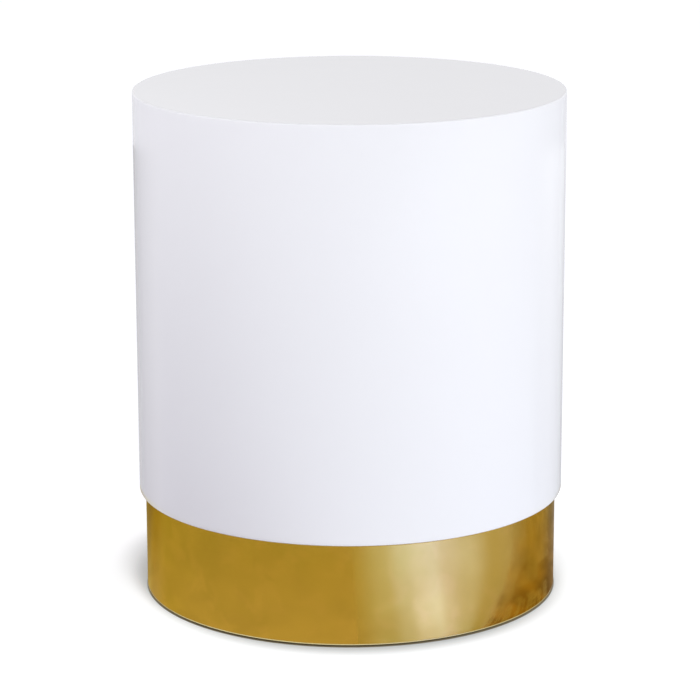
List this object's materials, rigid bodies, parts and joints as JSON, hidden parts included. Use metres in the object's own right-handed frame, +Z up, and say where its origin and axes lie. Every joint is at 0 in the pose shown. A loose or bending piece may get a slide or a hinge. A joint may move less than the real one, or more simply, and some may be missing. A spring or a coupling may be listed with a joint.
{
  "type": "drum side table",
  "caption": "Round hollow drum side table, white lacquered, on a slightly smaller plinth with a gold-toned metal sleeve and screw-out levelling glides.",
  "frame": {"origin": "on the floor, under the middle of the drum, where the four glide pads stand", "axes": "+Z up along the drum's axis; the sleeve's butt seam faces +Y, the back; +X to the right seen from the front"},
  "size_m": [0.4059, 0.406, 0.482],
  "materials": {
    "lacquered_board": "gloss",
    "lacquered_ply": "gloss",
    "raw_board": "matte",
    "sealed_board": "satin",
    "raw_ply": "matte",
    "batten_wood": "matte",
    "brushed_gold": "polished",
    "zinc_screw": "satin",
    "zinc_hardware": "satin",
    "black_bolt": "satin",
    "insert_brass": "satin",
    "pad_nylon": "satin"
  },
  "bodies": {
    "table": {"top_panel": "lacquered_board", "drum_skin": "lacquered_ply", "bottom_panel": "lacquered_board", "lower_rib": "raw_board", "middle_rib": "raw_board", "upper_rib": "raw_board", "top_screws": "zinc_screw", "bottom_screws": "zinc_screw", "threaded_inserts": "insert_brass", "brass_sleeve": "brushed_gold", "plinth_wall": "raw_ply", "plinth_ring": "raw_board", "base_board": "sealed_board", "ring_screws": "zinc_screw", "base_screws": "zinc_screw", "plinth_bolts": "black_bolt", "glide_nuts": "zinc_hardware", "stile_1": "batten_wood", "stile_2": "batten_wood", "stile_3": "batten_wood", "stile_4": "batten_wood", "stile_5": "batten_wood", "stile_6": "batten_wood", "stile_7": "batten_wood", "stile_8": "batten_wood", "plinth_post_1": "batten_wood", "plinth_post_2": "batten_wood", "plinth_post_3": "batten_wood", "plinth_post_4": "batten_wood", "plinth_post_5": "batten_wood", "plinth_post_6": "batten_wood", "plinth_post_7": "batten_wood", "plinth_post_8": "batten_wood"},
    "pad_1": {"leveller_pad_1": "pad_nylon"},
    "stem_1": {"leveller_stem_1": "zinc_hardware"},
    "pad_2": {"leveller_pad_2": "pad_nylon"},
    "stem_2": {"leveller_stem_2": "zinc_hardware"},
    "pad_3": {"leveller_pad_3": "pad_nylon"},
    "stem_3": {"leveller_stem_3": "zinc_hardware"},
    "pad_4": {"leveller_pad_4": "pad_nylon"},
    "stem_4": {"leveller_stem_4": "zinc_hardware"}
  },
  "joints": [
    {"name": "glide_1_extend", "type": "slide", "parent": "table", "child": "pad_1", "axis": [0, 0, -1], "range_m": [0, 0.012]},
    {"name": "glide_1_screw", "type": "hinge", "parent": "pad_1", "child": "stem_1", "pos_m": [0.10748, 0.10748, 0.02], "axis": [0, 0, -1], "range_deg": [0, 3456]},
    {"name": "glide_2_extend", "type": "slide", "parent": "table", "child": "pad_2", "axis": [0, 0, -1], "range_m": [0, 0.012]},
    {"name": "glide_2_screw", "type": "hinge", "parent": "pad_2", "child": "stem_2", "pos_m": [-0.10748, 0.10748, 0.02], "axis": [0, 0, -1], "range_deg": [0, 3456]},
    {"name": "glide_3_extend", "type": "slide", "parent": "table", "child": "pad_3", "axis": [0, 0, -1], "range_m": [0, 0.012]},
    {"name": "glide_3_screw", "type": "hinge", "parent": "pad_3", "child": "stem_3", "pos_m": [-0.10748, -0.10748, 0.02], "axis": [0, 0, -1], "range_deg": [0, 3456]},
    {"name": "glide_4_extend", "type": "slide", "parent": "table", "child": "pad_4", "axis": [0, 0, -1], "range_m": [0, 0.012]},
    {"name": "glide_4_screw", "type": "hinge", "parent": "pad_4", "child": "stem_4", "pos_m": [0.10748, -0.10748, 0.02], "axis": [0, 0, -1], "range_deg": [0, 3456]}
  ],
  "couplings": [
    {"joint": "glide_1_extend", "follows": "glide_1_screw", "m_per_rad": 0.00019894},
    {"joint": "glide_2_extend", "follows": "glide_2_screw", "m_per_rad": 0.00019894},
    {"joint": "glide_3_extend", "follows": "glide_3_screw", "m_per_rad": 0.00019894},
    {"joint": "glide_4_extend", "follows": "glide_4_screw", "m_per_rad": 0.00019894}
  ]
}
